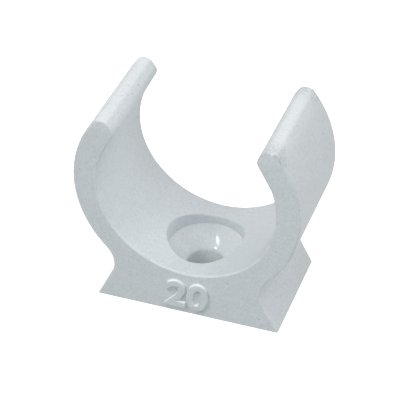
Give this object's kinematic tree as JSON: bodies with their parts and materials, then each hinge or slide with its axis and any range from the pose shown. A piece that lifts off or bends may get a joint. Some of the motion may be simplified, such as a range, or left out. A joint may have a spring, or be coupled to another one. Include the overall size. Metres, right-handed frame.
{
  "type": "conduit clip",
  "caption": "Open spring clip moulded in one piece: sprung arms snap round a round conduit, above a flared foot with a countersunk screw seat in its floor.",
  "frame": {"origin": "centre of the foot's underside, on the screw's axis", "axes": "+Z away from the wall, along the screw; +Y along the conduit; X across the two arms"},
  "size_m": [0.0258, 0.0134, 0.0239],
  "materials": {
    "clip_plastic": "matte, pale blue-grey, with a fine moulded grain"
  },
  "bodies": {
    "root": {"conduit_clip": "clip_plastic"}
  },
  "joints": []
}
